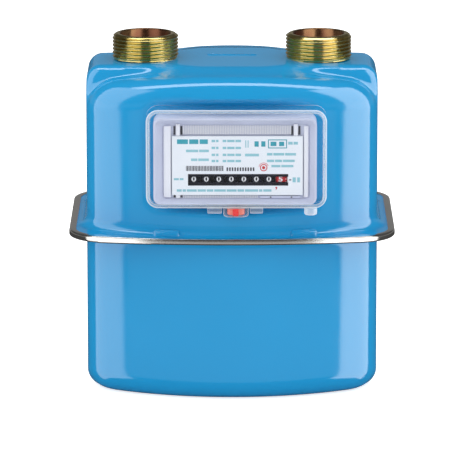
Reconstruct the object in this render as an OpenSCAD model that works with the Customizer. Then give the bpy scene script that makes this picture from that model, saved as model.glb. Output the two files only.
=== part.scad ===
// Diaphragm gas meter with two threaded connections on top, a pressed steel case in two
// halves held by a clamp band, a mechanical index under a clear cover, and the measuring
// unit inside. Millimetres, +Z up, +X to the outlet, the index faces -Y, base at z = 0.

/* [Case] */
// Overall width over the clamp band
band_w = 206; // [200:1:214]
// Overall depth over the clamp band
band_d = 168; // [160:1:176]
// Width of the case body
body_w = 184; // [180:1:186]
// Depth of the case body at its middle
body_d = 148; // [144:1:150]
// Height of the deck that carries the connections
deck_z = 207; // [205:1:210]
// Height of the lower edge of the clamp band
band_z = 102.2; // [100:0.1:104]
// Sheet thickness of the case
sheet_t = 1.2; // [1:0.1:1.5]

/* [Connections] */
// Distance between the two connections
boss_pitch = 110; // [110:1:110]
// Major diameter of the pipe thread
thread_d = 41.91; // [41.91:0.01:41.91]
// Bore of each connection
boss_bore_d = 32; // [30:0.5:33]
// Height of each connection above the deck
boss_h = 16; // [14:0.5:18]
// Thread pitch
thread_p = 2.309; // [2.309:0.001:2.309]

/* [Index] */
// Sideways offset of the index from the middle of the case
index_x = 2.7; // [0:0.1:4]
// Width of the clear cover
cover_w = 112.4; // [110:0.2:114]
// Height of the clear cover's lower edge
cover_z0 = 126; // [125:0.5:127]
// Height of the clear cover's upper edge
cover_z1 = 188; // [186:0.5:190]
// Number of number wheels
wheel_n = 8; // [8:1:8]
// Distance from one number wheel to the next
wheel_p = 7.8; // [7.6:0.1:8]
// Radius of a number wheel
wheel_r = 5.6; // [5.4:0.1:5.7]

/* [Measuring unit] */
// Radius of the crank throw
crank_c = 5.5; // [4:0.5:6]
// Length of the arm on each flag rod
arm_len = 39.5; // [36:0.5:41]
// Reach of each flag from its rod to the pan's post
flag_len = 52; // [48:1:54]
// Radius of each diaphragm pan
pan_r = 34; // [30:1:34]

/* [Hidden] */
$fn = 48;
eps = 0.3;

// ---------- case outlines ----------
// Radii of the body outline: bowed front and back, rounded corners
body_bow_r = 160;
body_corner_r = 28;
// Radii of the flange outline
flange_bow_r = 400;
flange_corner_r = 28;
// Steps along each corner arc and each bowed stretch
corner_steps = 6;
bow_steps = 4;

// Heights in the flange stack, from the band's lower edge up
band_t = 0.55;
flange_t = 1.1;
gasket_t = 1;
lower_flange_z = band_z + 0.6;
gasket_z = lower_flange_z + flange_t;
upper_flange_z = gasket_z + gasket_t;
flange_top_z = upper_flange_z + flange_t;
band_top_z = flange_top_z + 0.6;
band_lip = 4.8;

// Fillets of the pressed cases
foot_fillet = 12;
shoulder_fillet = 16;
deck_end_r = 9;
lobe_z = 202.5;
fillet_steps = 4;
// Deck strip between the front and back shoulders, with its bulge at the middle
deck_half_d = 27;
deck_bulge = 6;
deck_bulge_from = 17;
deck_bulge_to = 35;
deck_low_z = 182;

// Quarter of a bowed outline, inset by d: corner arc, then the bowed stretch
function quarter(w, depth, bow, corner, d) =
    let (cx = w / 2 - corner)
    let (cy = sqrt(pow(bow - corner, 2) - cx * cx) - (bow - depth / 2))
    let (turn = acos(cx / (bow - corner)))
    concat(
        [for (i = [0:corner_steps]) let (a = i * turn / corner_steps)
            [cx + (corner - d) * cos(a), cy + (corner - d) * sin(a)]],
        [for (i = [1:bow_steps]) let (a = turn + i * (90 - turn) / bow_steps)
            [(bow - d) * cos(a), (bow - d) * sin(a) - (bow - depth / 2)]]);

function backwards(v, skip) = [for (i = [len(v) - 1 - skip:-1:0]) v[i]];
function flip_x(v) = [for (p = v) [-p[0], p[1]]];
function flip_y(v) = [for (p = v) [p[0], -p[1]]];

// Whole outline: the quarter mirrored across both axes
function outline(w, depth, bow, corner, d) =
    let (q = quarter(w, depth, bow, corner, d))
    let (half = concat(q, flip_x(backwards(q, 1))))
    concat(half, flip_y(backwards(half, 0)));

module body_plan(d) {
    polygon(outline(body_w, body_d, body_bow_r, body_corner_r, d));
}

module flange_plan(d) {
    polygon(outline(band_w, band_d, flange_bow_r, flange_corner_r, d));
}

// One thin slice of the body outline
module body_slice(z, d) {
    translate([0, 0, z])
        linear_extrude(eps)
            body_plan(d);
}

// Tub of the lower case, inset by d, with its bottom fillet
module lower_form(d, top_z) {
    r = foot_fillet - d;
    hull() {
        for (i = [0:fillet_steps])
            let (a = 90 * i / fillet_steps)
                body_slice(d + r * (1 - cos(a)), d + r * (1 - sin(a)));
        body_slice(top_z - eps, d);
    }
}

// Shoulders of the upper case, inset by d, with the top fillet
module shoulder_form(d, low_z) {
    r = shoulder_fillet - d;
    hull() {
        body_slice(low_z, d);
        for (i = [0:fillet_steps])
            let (a = 90 * i / fillet_steps)
                body_slice(lobe_z - d - eps - r * (1 - cos(a)), d + r * (1 - sin(a)));
    }
}

// Half depth of the deck strip at x: flat ends with a smooth bulge between
function deck_half(x) =
    let (t = min(max((abs(x) - deck_bulge_from) / (deck_bulge_to - deck_bulge_from), 0), 1))
    deck_half_d + deck_bulge * (1 + cos(180 * t)) / 2;

// Deck strip, inset by d
module deck_form(d) {
    hw = body_w / 2 - d;
    r = deck_end_r - d;
    top = deck_z - d;
    xs = [for (i = [-10:10]) i * 3.8];
    front = concat([[-hw, -deck_half_d + d]], [for (x = xs) [x, d - deck_half(x)]],
        [[hw, -deck_half_d + d]]);
    intersection() {
        translate([0, 0, deck_low_z])
            linear_extrude(deck_z - deck_low_z)
                polygon(concat(front, backwards(flip_y(front), 0)));
        rotate([90, 0, 0])
            linear_extrude(body_d, center = true)
                polygon(concat([[-hw, deck_low_z], [hw, deck_low_z]],
                    [for (i = [0:6]) let (a = 15 * i)
                        [hw - r + r * cos(a), top - r + r * sin(a)]],
                    [for (i = [6:-1:0]) let (a = 15 * i)
                        [-hw + r - r * cos(a), top - r + r * sin(a)]]));
    }
}

// Rectangle with round corners, given by two corners
module round_rect(x0, y0, x1, y1, r) {
    for (x = [x0 + r, x1 - r])
        for (y = [y0 + r, y1 - r])
            translate([x, y])
                circle(r);
    translate([x0 + r, y0])
        square([x1 - x0 - 2 * r, y1 - y0]);
    translate([x0, y0 + r])
        square([x1 - x0, y1 - y0 - 2 * r]);
}

// Upright plate in the index: an outline in x and z, from depth y_front back to y_back
module upright(y_front, y_back) {
    translate([0, y_back, 0])
        rotate([90, 0, 0])
            linear_extrude(y_back - y_front)
                children();
}

// ---------- index places ----------
pad_y = -63.4;
pocket_x0 = index_x - 59.5;
pocket_x1 = index_x + 59.5;
pocket_z0 = 123.5;
pocket_z1 = 191;
pocket_r = 12;
cover_x0 = index_x - cover_w / 2;
cover_x1 = index_x + cover_w / 2;
cover_front_y = -83.4;
cover_t = 1.8;
cover_r = 7.5;
tray_x0 = -48.9;
tray_x1 = 52.7;
tray_z0 = 128;
tray_z1 = 182.8;
tray_r = 4.5;
tray_front_y = -80.8;
tray_floor_y = -74.6;
tray_back_y = pad_y - 0.05;
tray_back_t = 0.9;
plate_x0 = -37.4;
plate_x1 = 44.1;
plate_z0 = 133.5;
plate_z1 = 170.8;
plate_front_y = -77;
plate_t = 0.8;
wheels_x0 = -27.4;
wheel_y = -70.3;
wheel_z = 143.15;
window_half_h = 3.65;

// Gears of the index and of its drive: module and tooth counts
index_m = 0.5;
wheel_teeth = 20;
pinion_teeth = 8;
pinion_z = wheel_z + index_m * (wheel_teeth + pinion_teeth) / 2;
crown_m = 0.55;
crown_teeth = 16;
index_pinion_r = crown_m * pinion_teeth / 2;
drive_m = 0.7;
contrate_teeth = 32;
crank_pinion_r = drive_m * pinion_teeth / 2;
running = 0.05;

// Widths inside one number wheel, from its left side
lock_disc_w = 0.9;
drum_w = 5.4;
wheel_gear_w = 1.2;
drum_x = lock_disc_w;
gear_x = lock_disc_w + drum_w;
axle_r = 1;
pinion_axle_r = 0.7;

// Index shaft through the wall of the case
shaft_r = 1.2;
crown_face_x = wheels_x0 + (wheel_n - 1) * wheel_p + gear_x + 0.8;
crown_tooth_h = 1.1;
crown_pitch_h = 0.6;
shaft_x = crown_face_x + crown_pitch_h + index_pinion_r;
bush_r = 3.5;

// ---------- measuring unit places ----------
crank_x = shaft_x;
crank_y = -26;
flag_rod_x = -58;
flag_rod_y = -41;
rod_r = 2;
table_z = 108;
table_t = 4;
chamber_z = 64;
chamber_face_y = 30;
outlet_tube_r = 12.5;

// Direction of a link whose line meets the crank shaft square to its arm
function span_angle(rod) = atan2(crank_y - rod[1], crank_x - rod[0]);
function span_len(rod) = sqrt(pow(crank_x - rod[0], 2) + pow(crank_y - rod[1], 2));
function arm_angle(rod, side) = span_angle(rod) + side * acos(arm_len / span_len(rod));
front_rod = [flag_rod_x, flag_rod_y];
rear_rod = [-flag_rod_x, -flag_rod_y];
front_arm_a = arm_angle(front_rod, 1);
rear_arm_a = arm_angle(rear_rod, -1);
function arm_tip(rod, a) = [rod[0] + arm_len * cos(a), rod[1] + arm_len * sin(a)];

// ---------- small shared shapes ----------
// Ring or disc about a vertical axis
module ring(r_out, r_in, z0, z1) {
    translate([0, 0, z0])
        difference() {
            cylinder(r = r_out, h = z1 - z0);
            if (r_in > 0)
                translate([0, 0, -1])
                    cylinder(r = r_in, h = z1 - z0 + 2);
        }
}

// Spur gear outline: slim straight-sided teeth on a root circle, tooth 0 on +x
module gear_plan(m, n, bore) {
    pitch = m * n / 2;
    root = pitch - 1.2 * m;
    tip = pitch + 0.8 * m;
    foot_half = 0.62 * m;
    tip_half = 0.34 * m;
    difference() {
        union() {
            circle(root);
            for (i = [0:n - 1])
                rotate(360 * i / n)
                    polygon([[root * 0.8, -foot_half], [tip, -tip_half], [tip, tip_half],
                        [root * 0.8, foot_half]]);
        }
        circle(bore);
    }
}

// Face gear: a disc with straight teeth standing on its upper side
module crown_gear(m, n, disc_t, tooth_h, tooth_r0, tooth_r1) {
    cylinder(r = tooth_r1, h = disc_t);
    for (i = [0:n - 1])
        rotate(360 * i / n)
            translate([0, 0, disc_t])
                rotate([90, 0, 90])
                    translate([0, 0, tooth_r0])
                        linear_extrude(tooth_r1 - tooth_r0)
                            polygon([[-0.6 * m, -0.1], [0.6 * m, -0.1], [0.3 * m, tooth_h],
                                [-0.3 * m, tooth_h]]);
}

// Places children about the wheel axle with z along +x and x up
module on_wheel_axis(x, z) {
    translate([x, wheel_y, z])
        rotate([0, 90, 0])
            rotate(180)
                children();
}

// Flat bar with round ends, from one point to another
module bar(p, q, w, z0, z1) {
    d = q - p;
    translate([p[0], p[1], z0])
        rotate(atan2(d[1], d[0])) {
            translate([0, -w / 2, 0])
                cube([norm(d), w, z1 - z0]);
            cylinder(d = w, h = z1 - z0);
            translate([norm(d), 0, 0])
                cylinder(d = w, h = z1 - z0);
        }
}

// ---------- case ----------
// Recess in the front of the upper case for the index, grown by d
module index_pocket(d) {
    upright(-body_d, pad_y + d)
        round_rect(pocket_x0 - d, pocket_z0 - d, pocket_x1 + d, pocket_z1 + d, pocket_r);
}

// Flat flange around the mouth of a case half
module flange_ring(z, d, t) {
    translate([0, 0, z])
        linear_extrude(t)
            difference() {
                flange_plan(d);
                body_plan(sheet_t);
            }
}

index_screw_places = [[-33.5, 163], [39, 163]];
screw_r = 1.5;
boss_spigot_r = 18;
spigot_play = 0.1;

module upper_case() {
    color("#2d9bd7")
        difference() {
            union() {
                difference() {
                    union() {
                        shoulder_form(0, upper_flange_z);
                        deck_form(0);
                    }
                    index_pocket(0);
                }
                flange_ring(upper_flange_z, band_t + 0.1, flange_t);
            }
            difference() {
                union() {
                    shoulder_form(sheet_t, upper_flange_z - 1);
                    deck_form(sheet_t);
                }
                index_pocket(sheet_t);
            }
            for (side = [-1, 1])
                translate([side * boss_pitch / 2, 0, deck_z - 10])
                    cylinder(r = boss_spigot_r + spigot_play, h = 20);
            upright(pad_y - 5, pad_y + 5)
                translate([shaft_x, wheel_z])
                    circle(bush_r);
            for (p = index_screw_places)
                upright(pad_y - 5, pad_y + 5)
                    translate(p)
                        circle(screw_r);
        }
}

module lower_case() {
    color("#2d9bd7")
        difference() {
            union() {
                lower_form(0, gasket_z);
                flange_ring(lower_flange_z, band_t + 0.1, flange_t);
            }
            lower_form(sheet_t, gasket_z + 1);
        }
}

module flange_gasket() {
    color("#3a3a3a")
        flange_ring(gasket_z, band_t + 1, gasket_t);
}

// Channel section band that grips both flanges and the gasket
module clamp_band() {
    color("silver")
        difference() {
            translate([0, 0, band_z])
                linear_extrude(band_top_z - band_z)
                    flange_plan(0);
            translate([0, 0, band_z + band_t])
                linear_extrude(band_top_z - band_z - 2 * band_t)
                    flange_plan(band_t);
            translate([0, 0, band_z - 1])
                linear_extrude(band_top_z - band_z + 2)
                    flange_plan(band_lip);
        }
}

thread_depth = 1.35;
thread_count = 6;
thread_low = 1.3;
crest_w = 0.45;
boss_foot_z = deck_z - 3.6;

// Threaded connection, brazed into the deck
module boss() {
    crest = thread_d / 2;
    root = crest - thread_depth;
    top = deck_z + boss_h;
    flank = (thread_p - crest_w) / 2;
    threads = [for (i = [0:thread_count - 1])
        let (z = deck_z + thread_low + i * thread_p)
            each [[root, z], [crest, z + flank], [crest, z + flank + crest_w]]];
    rotate_extrude($fn = 64)
        polygon(concat([[boss_bore_d / 2, boss_foot_z], [boss_spigot_r, boss_foot_z],
            [boss_spigot_r, deck_z], [root, deck_z]], threads,
            [[root, deck_z + thread_low + thread_count * thread_p], [root - 0.9, top],
            [boss_bore_d / 2, top]]));
}

module inlet_boss() {
    color("#c9a54a")
        translate([-boss_pitch / 2, 0, 0])
            boss();
}

module outlet_boss() {
    color("#c9a54a")
        translate([boss_pitch / 2, 0, 0])
            boss();
}

// ---------- index ----------
ledge_x = [[-18, -9], [8.5, 16.5]];
seal_x = 2.5;
seal_r = 4.2;
seal_half_w = 7.85;
seal_y = -79;
seal_z0 = 120.3;
seal_core_r = 3.6;
peg_x = 49;
peg_y = -78.8;
peg_r = 4;
peg_z0 = 121.5;

// Clear cover: an open-backed box with ledges under it beside the seal
module index_cover() {
    color("#cfe6f2", 0.35)
        difference() {
            union() {
                upright(cover_front_y, pad_y - 0.05)
                    round_rect(cover_x0, cover_z0, cover_x1, cover_z1, cover_r);
                for (x = ledge_x)
                    translate([index_x + x[0], seal_y - 3, cover_z0 - 3.4])
                        cube([x[1] - x[0], 6, 4]);
            }
            upright(cover_front_y + cover_t, pad_y + 1)
                round_rect(cover_x0 + cover_t, cover_z0 + cover_t, cover_x1 - cover_t,
                    cover_z1 - cover_t, cover_r - cover_t);
        }
}

well_x0 = wheels_x0 - 1.9;
well_x1 = 40.6;
well_z0 = 136.8;
well_z1 = 153.3;
tray_rim = 1.3;
floor_x0 = -43;
floor_x1 = 48;
floor_z0 = 131.2;
floor_z1 = 178;
axle_seat = 2.5;
plate_pad_w = 5;

// Carrier of the index: sloped inside, a well for the number train, bearings for its axles
module index_tray() {
    color("#e6e6f0")
        difference() {
            union() {
                difference() {
                    upright(tray_front_y, tray_back_y)
                        round_rect(tray_x0, tray_z0, tray_x1, tray_z1, tray_r);
                    hull() {
                        upright(tray_front_y - eps, tray_front_y)
                            round_rect(tray_x0 + tray_rim, tray_z0 + tray_rim,
                                tray_x1 - tray_rim, tray_z1 - tray_rim, tray_r - tray_rim, $fn = 32);
                        upright(tray_floor_y - eps, tray_floor_y)
                            round_rect(floor_x0, floor_z0, floor_x1, floor_z1, 3, $fn = 32);
                    }
                }
                for (x = [plate_x0 + 1, plate_x1 - 1 - plate_pad_w])
                    upright(plate_front_y + plate_t, tray_floor_y + 1)
                        translate([x, plate_z0 + 1])
                            square([plate_pad_w, plate_z1 - plate_z0 - 2]);
            }
            upright(tray_front_y, tray_back_y - tray_back_t)
                translate([well_x0, well_z0])
                    square([well_x1 - well_x0, well_z1 - well_z0]);
            on_wheel_axis(well_x0 - axle_seat, wheel_z)
                cylinder(r = axle_r, h = well_x1 - well_x0 + 2 * axle_seat);
            on_wheel_axis(well_x0 - axle_seat, pinion_z)
                cylinder(r = pinion_axle_r, h = well_x1 - well_x0 + 2 * axle_seat);
            upright(tray_floor_y - 3, pad_y + 1)
                translate([shaft_x, wheel_z])
                    circle(bush_r);
            for (p = index_screw_places) {
                upright(tray_front_y, pad_y - 2.6)
                    translate(p)
                        circle(3.2);
                upright(tray_front_y, pad_y + 1)
                    translate(p)
                        circle(screw_r);
            }
        }
}

module index_faceplate() {
    color("#f2f2f7")
        upright(plate_front_y, plate_front_y + plate_t)
            difference() {
                translate([plate_x0, plate_z0])
                    square([plate_x1 - plate_x0, plate_z1 - plate_z0]);
                translate([wheels_x0, wheel_z - window_half_h])
                    square([crown_face_x + 0.3 - wheels_x0, 2 * window_half_h]);
            }
}

module index_screws() {
    color("#8a8d90")
        for (p = index_screw_places)
            difference() {
                union() {
                    upright(pad_y - 4.6, pad_y - 2.6)
                        translate(p)
                            circle(2.8);
                    upright(pad_y - 4, pad_y + 3)
                        translate(p)
                            circle(screw_r);
                }
                upright(pad_y - 5, pad_y - 3.8)
                    translate(p)
                        square([3.6, 0.8], center = true);
            }
}

// Outline with two round ends, centred
module stadium(half_w, r) {
    translate([r - half_w, 0])
        circle(r);
    translate([half_w - r, 0])
        circle(r);
    square([2 * (half_w - r), 2 * r], center = true);
}

module seal_plug() {
    color("#e8eef4", 0.5)
        translate([seal_x, seal_y, seal_z0])
            difference() {
                linear_extrude(cover_z0 - seal_z0)
                    stadium(seal_half_w, seal_r);
                translate([0, 0, 0.8])
                    cylinder(r = seal_core_r, h = 10);
            }
}

module seal_core() {
    color("#d8232a")
        translate([seal_x, seal_y, seal_z0 + 0.8])
            cylinder(r = seal_core_r, h = cover_z0 - seal_z0 - 0.9);
}

module cover_peg() {
    color("#e8eef4", 0.5)
        translate([peg_x, peg_y, peg_z0])
            difference() {
                cylinder(r = peg_r, h = cover_z0 - peg_z0);
                translate([0, 0, 1])
                    cylinder(r = peg_r - 1, h = 10);
            }
}

module wheel_axle() {
    color("silver")
        on_wheel_axis(well_x0 - axle_seat, wheel_z)
            cylinder(r = axle_r, h = well_x1 - well_x0 + 2 * axle_seat);
}

module pinion_axle() {
    color("silver")
        on_wheel_axis(well_x0 - axle_seat, pinion_z)
            cylinder(r = pinion_axle_r, h = well_x1 - well_x0 + 2 * axle_seat);
}

lock_disc_r = 4.3;
crown_disc_t = 0.8;
crown_teeth_r0 = 4;
crown_teeth_r1 = 5.2;

// Number wheel k: lock disc, drum, then its gear, or the crown that drives the last wheel
module number_wheel(k) {
    last = k == wheel_n;
    color(last ? "#c8202a" : "#15151a")
        on_wheel_axis(wheels_x0 + (k - 1) * wheel_p, wheel_z)
            difference() {
                union() {
                    cylinder(r = lock_disc_r, h = lock_disc_w);
                    translate([0, 0, drum_x])
                        cylinder(r = wheel_r, h = drum_w);
                    translate([0, 0, gear_x]) {
                        if (last)
                            crown_gear(crown_m, crown_teeth, crown_disc_t, crown_tooth_h,
                                crown_teeth_r0, crown_teeth_r1);
                        else
                            rotate(180 / wheel_teeth)
                                linear_extrude(wheel_gear_w)
                                    gear_plan(index_m, wheel_teeth, axle_r);
                    }
                }
                translate([0, 0, -1])
                    cylinder(r = axle_r + running, h = wheel_p + 3);
            }
}

// Pinion between wheels k and k + 1, in mesh with the gear of wheel k
module transfer_pinion(k) {
    side_play = 0.15;
    pinion_w = wheel_p - drum_w - 2 * side_play;
    color("#e9e4d2")
        on_wheel_axis(wheels_x0 + (k - 1) * wheel_p + gear_x + side_play, pinion_z)
            linear_extrude(pinion_w)
                gear_plan(index_m, pinion_teeth, pinion_axle_r + running);
}

// ---------- drive from the crank to the index ----------
contrate_pitch_h = 0.75;
contrate_tooth_h = 1.4;
contrate_disc_t = 1.5;
contrate_teeth_r0 = 10.4;
contrate_teeth_r1 = 12.2;
contrate_face_y = crank_y - crank_pinion_r - contrate_pitch_h;
crank_shaft_r = 1.5;
shaft_front_y = wheel_y + crown_teeth_r0 - 0.4;
shaft_back_y = contrate_face_y + 0.7;
bush_front_y = pad_y - 0.9;
bush_back_y = -46;

// Places children at the index shaft with z along +y
module on_shaft(y) {
    translate([shaft_x, y, wheel_z])
        rotate([-90, 0, 0])
            children();
}

module index_shaft() {
    color("silver")
        on_shaft(shaft_front_y)
            cylinder(r = shaft_r, h = shaft_back_y - shaft_front_y);
}

module index_pinion() {
    color("#e9e4d2")
        on_shaft(wheel_y + crown_teeth_r0 + 0.1)
            rotate(180 / pinion_teeth)
                linear_extrude(crown_teeth_r1 - crown_teeth_r0 - 0.1)
                    gear_plan(crown_m, pinion_teeth, shaft_r);
}

module contrate_wheel() {
    color("#e9e4d2")
        difference() {
            on_shaft(contrate_face_y - contrate_disc_t)
                crown_gear(drive_m, contrate_teeth, contrate_disc_t, contrate_tooth_h,
                    contrate_teeth_r0, contrate_teeth_r1);
            on_shaft(contrate_face_y - 5)
                cylinder(r = shaft_r, h = 10);
        }
}

module shaft_bush() {
    color("#b5b8bc")
        difference() {
            union() {
                on_shaft(bush_front_y)
                    cylinder(r = bush_r, h = bush_back_y - bush_front_y);
                on_shaft(pad_y + sheet_t)
                    cylinder(r = bush_r + 2, h = 1.5);
            }
            on_shaft(bush_front_y - 1)
                cylinder(r = shaft_r + running, h = bush_back_y - bush_front_y + 2);
        }
}

module crank_pinion() {
    color("#e9e4d2")
        translate([crank_x, crank_y, wheel_z - contrate_teeth_r1])
            rotate(180 / pinion_teeth)
                linear_extrude(contrate_teeth_r1 - contrate_teeth_r0)
                    gear_plan(drive_m, pinion_teeth, crank_shaft_r);
}

// ---------- measuring unit ----------
frame_half_w = 68;
frame_z0 = 14;
chamber_r = 40;
wall_half = 1.5;
table_half_w = 70;
table_half_d = 52;
table_corner = 8;
chamber_half_w = 66;
chamber_front = 51.6;
chamber_wall = 1.5;
chamber_z0 = 16;
bush_out_r = 4;
bush_in_r = rod_r + running;
pan_y = -32.2;
pan_t = 1;
wing_y = flag_rod_y;
wing_t = 1.2;
post_reach = 6.6;
valve_plate_r = 18;
valve_plate_t = 4;
valve_r = 16;
valve_play = 0.1;
tube_wall = 1.2;
tube_flange_z = 200.8;

// Places children in front, or turned half round for the rear
module each_side(rear) {
    rotate(rear ? 180 : 0)
        children();
}

module valve_port_plan() {
    for (a = [45, 135, 225, 315])
        rotate(a)
            translate([11, 0])
                circle(3);
}

// Central wall with a chamber on each face, the valve table above and two feet below
module measuring_frame() {
    color("#c9ccd1")
        difference() {
            union() {
                translate([-frame_half_w, -chamber_face_y, frame_z0])
                    cube([2 * frame_half_w, 2 * chamber_face_y, table_z - frame_z0]);
                translate([0, 0, table_z])
                    linear_extrude(table_t)
                        round_rect(-table_half_w, -table_half_d, table_half_w, table_half_d,
                            table_corner);
                for (x = [-50, 50])
                    translate([x - 6, -20, sheet_t])
                        cube([12, 40, frame_z0]);
                for (rear = [false, true])
                    each_side(rear)
                        translate([flag_rod_x - 6, flag_rod_y - 6, chamber_z0 + 1])
                            cube([12, 17, 4]);
            }
            for (rear = [false, true])
                each_side(rear) {
                    translate([0, -wall_half, chamber_z])
                        rotate([90, 0, 0])
                            cylinder(r = chamber_r, h = chamber_face_y);
                    translate([flag_rod_x, flag_rod_y, table_z - 1])
                        cylinder(r = bush_out_r, h = 10);
                    translate([flag_rod_x, flag_rod_y, chamber_z0 + 2])
                        cylinder(r = bush_in_r, h = 10);
                }
            translate([crank_x, crank_y, table_z - 1])
                linear_extrude(10)
                    valve_port_plan();
        }
}

// Box over one chamber, open towards the frame and under the table
module chamber_cover(rear) {
    low = chamber_z0 - chamber_wall;
    color("#aeb2b8")
        each_side(rear)
            difference() {
                translate([-chamber_half_w, -chamber_front, low])
                    cube([2 * chamber_half_w, chamber_front - chamber_face_y, table_z - low]);
                translate([chamber_wall - chamber_half_w, chamber_wall - chamber_front, chamber_z0])
                    cube([2 * (chamber_half_w - chamber_wall), chamber_front, table_z]);
            }
}

module front_chamber_cover() {
    chamber_cover(false);
}

module rear_chamber_cover() {
    chamber_cover(true);
}

diaphragm_out_r = 43.5;
diaphragm_in_r = pan_r + 1.2;
diaphragm_t = 0.8;
convolution_r = 2.6;

// Flexible annulus, drawn at mid stroke: clamped rim and one rolled convolution
module diaphragm(rear) {
    mid_r = diaphragm_in_r + convolution_r;
    color("#8f6b45")
        each_side(rear)
            translate([0, -chamber_face_y - 0.1, chamber_z])
                rotate([90, 0, 0])
                    rotate_extrude()
                        union() {
                            translate([mid_r + convolution_r - diaphragm_t, 0])
                                square([diaphragm_out_r - mid_r - convolution_r + diaphragm_t,
                                    diaphragm_t]);
                            translate([mid_r, 0])
                                intersection() {
                                    difference() {
                                        circle(convolution_r);
                                        circle(convolution_r - diaphragm_t);
                                    }
                                    translate([-5, 0])
                                        square([10, 5]);
                                }
                        }
}

module front_diaphragm() {
    diaphragm(false);
}

module rear_diaphragm() {
    diaphragm(true);
}

// Stiff disc in the middle of a diaphragm, with the post that its flag pushes
module pan(rear) {
    post_x = flag_rod_x + flag_len;
    color("#d5d8dc")
        each_side(rear) {
            translate([0, pan_y, chamber_z])
                rotate([-90, 0, 0])
                    cylinder(r = pan_r, h = pan_t);
            translate([post_x - 3, pan_y - post_reach, chamber_z - 4])
                cube([6, post_reach + 0.5, 8]);
        }
}

module front_pan() {
    pan(false);
}

module rear_pan() {
    pan(true);
}

rod_top = [160, 165.5];
arm_z = [158, 163.5];
arm_t = 2;
arm_w = 6;
link_w = 5;
link_t = 1.5;
arm_pin_r = 1.2;
link_gap = 1;

// Upright rod with the wing that follows the pan's post; level 0 is the front one
module flag(rear) {
    level = rear ? 1 : 0;
    color("#b9bcc0")
        each_side(rear) {
            translate([flag_rod_x, flag_rod_y, chamber_z0 + 2.2])
                cylinder(r = rod_r, h = rod_top[level] - chamber_z0 - 2.2);
            translate([flag_rod_x, wing_y - wing_t / 2, chamber_z - 14])
                cube([flag_len + 2, wing_t, 28]);
        }
}

module front_flag() {
    flag(false);
}

module rear_flag() {
    flag(true);
}

// Arm clamped on a flag rod, with the pin for its link
module rod_arm(rod, angle, level) {
    tip = arm_tip(rod, angle);
    z = arm_z[level];
    color("#9da1a6")
        difference() {
            union() {
                bar(rod, tip, arm_w, z, z + arm_t);
                translate([tip[0], tip[1], z])
                    cylinder(r = arm_pin_r, h = arm_t + link_gap + link_t + 0.6);
            }
            translate([rod[0], rod[1], z - 1])
                cylinder(r = rod_r, h = arm_t + 2);
        }
}

module front_arm() {
    rod_arm(front_rod, front_arm_a, 0);
}

module rear_arm() {
    rod_arm(rear_rod, rear_arm_a, 1);
}

// Link from an arm's pin to above the crank pin, with an eye at each end
module rod_link(rod, angle, level) {
    tip = arm_tip(rod, angle);
    z = arm_z[level] + arm_t + link_gap;
    color("#c7b36a")
        difference() {
            bar(tip, [crank_x, crank_y], link_w, z, z + link_t);
            translate([tip[0], tip[1], z - 1])
                cylinder(r = arm_pin_r + running, h = link_t + 2);
            translate([crank_x, crank_y, z - 1])
                cylinder(r = 1.4, h = link_t + 2);
        }
}

module front_link() {
    rod_link(front_rod, front_arm_a, 0);
}

module rear_link() {
    rod_link(rear_rod, rear_arm_a, 1);
}

// Two bushes that seal the flag rods in the table
module flag_bushes() {
    color("#d8d2bf")
        for (rear = [false, true])
            each_side(rear)
                translate([flag_rod_x, flag_rod_y, 0]) {
                    ring(bush_out_r, bush_in_r, table_z - 0.5, table_z + table_t);
                    ring(bush_out_r + 2, bush_in_r, table_z + table_t, table_z + table_t + 2);
                }
}

valve_plate_z = table_z + table_t;
valve_z = valve_plate_z + valve_plate_t + valve_play;
valve_t = 5;

// Ground seat for the rotary valve, with a port to each side of both diaphragms
module valve_plate() {
    color("#4a4d52")
        translate([crank_x, crank_y, valve_plate_z])
            difference() {
                cylinder(r = valve_plate_r, h = valve_plate_t);
                translate([0, 0, -1])
                    linear_extrude(valve_plate_t + 2)
                        valve_port_plan();
                translate([0, 0, 1])
                    cylinder(r = crank_shaft_r + running, h = valve_plate_t);
            }
}

// Disc that turns on the seat and joins the ports in turn through its pocket
module rotary_valve() {
    color("#2b2d31")
        translate([crank_x, crank_y, valve_z])
            difference() {
                cylinder(r = valve_r, h = valve_t);
                translate([0, 0, -1])
                    cylinder(r = crank_shaft_r, h = valve_t + 2);
                translate([0, 0, -0.5])
                    rotate_extrude(angle = 120)
                        translate([7.5, 0])
                            square([7, 4]);
            }
}

crank_arm_z = 157;
crank_arm_t = 1.5;
crank_pin_r = 1.2;
crank_shaft_z0 = valve_plate_z + 1.3;

module crank() {
    color("silver")
        translate([crank_x, crank_y, 0]) {
            translate([0, 0, crank_shaft_z0])
                cylinder(r = crank_shaft_r, h = crank_arm_z + 0.5 - crank_shaft_z0);
            bar([0, 0], [crank_c, 0], arm_w, crank_arm_z, crank_arm_z + crank_arm_t);
            translate([crank_c, 0, crank_arm_z])
                cylinder(r = crank_pin_r, h = crank_arm_t + 2);
        }
}

bridge_z = 125;
bridge_t = 3;
bridge_half_w = 22.5;
bridge_leg = 3.5;
bridge_d = 8;

// Bridge over the valve that holds the crank shaft's upper bearing
module crank_bridge() {
    color("#9da1a6")
        translate([crank_x, crank_y, 0])
            difference() {
                union() {
                    translate([-bridge_half_w, -bridge_d / 2, bridge_z])
                        cube([2 * bridge_half_w, bridge_d, bridge_t]);
                    for (x = [-bridge_half_w, bridge_half_w - bridge_leg])
                        translate([x, -bridge_d / 2, valve_plate_z])
                            cube([bridge_leg, bridge_d, bridge_z - valve_plate_z + 0.5]);
                }
                translate([0, 0, bridge_z - 1])
                    cylinder(r = crank_shaft_r + running, h = bridge_t + 2);
            }
}

// Riser from the table to the outlet connection
module outlet_tube() {
    color("#b9bcc0")
        translate([boss_pitch / 2, 0, 0]) {
            ring(outlet_tube_r, outlet_tube_r - tube_wall, valve_plate_z, tube_flange_z);
            ring(boss_spigot_r, outlet_tube_r - tube_wall, tube_flange_z, tube_flange_z + 1.4);
        }
}

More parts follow.
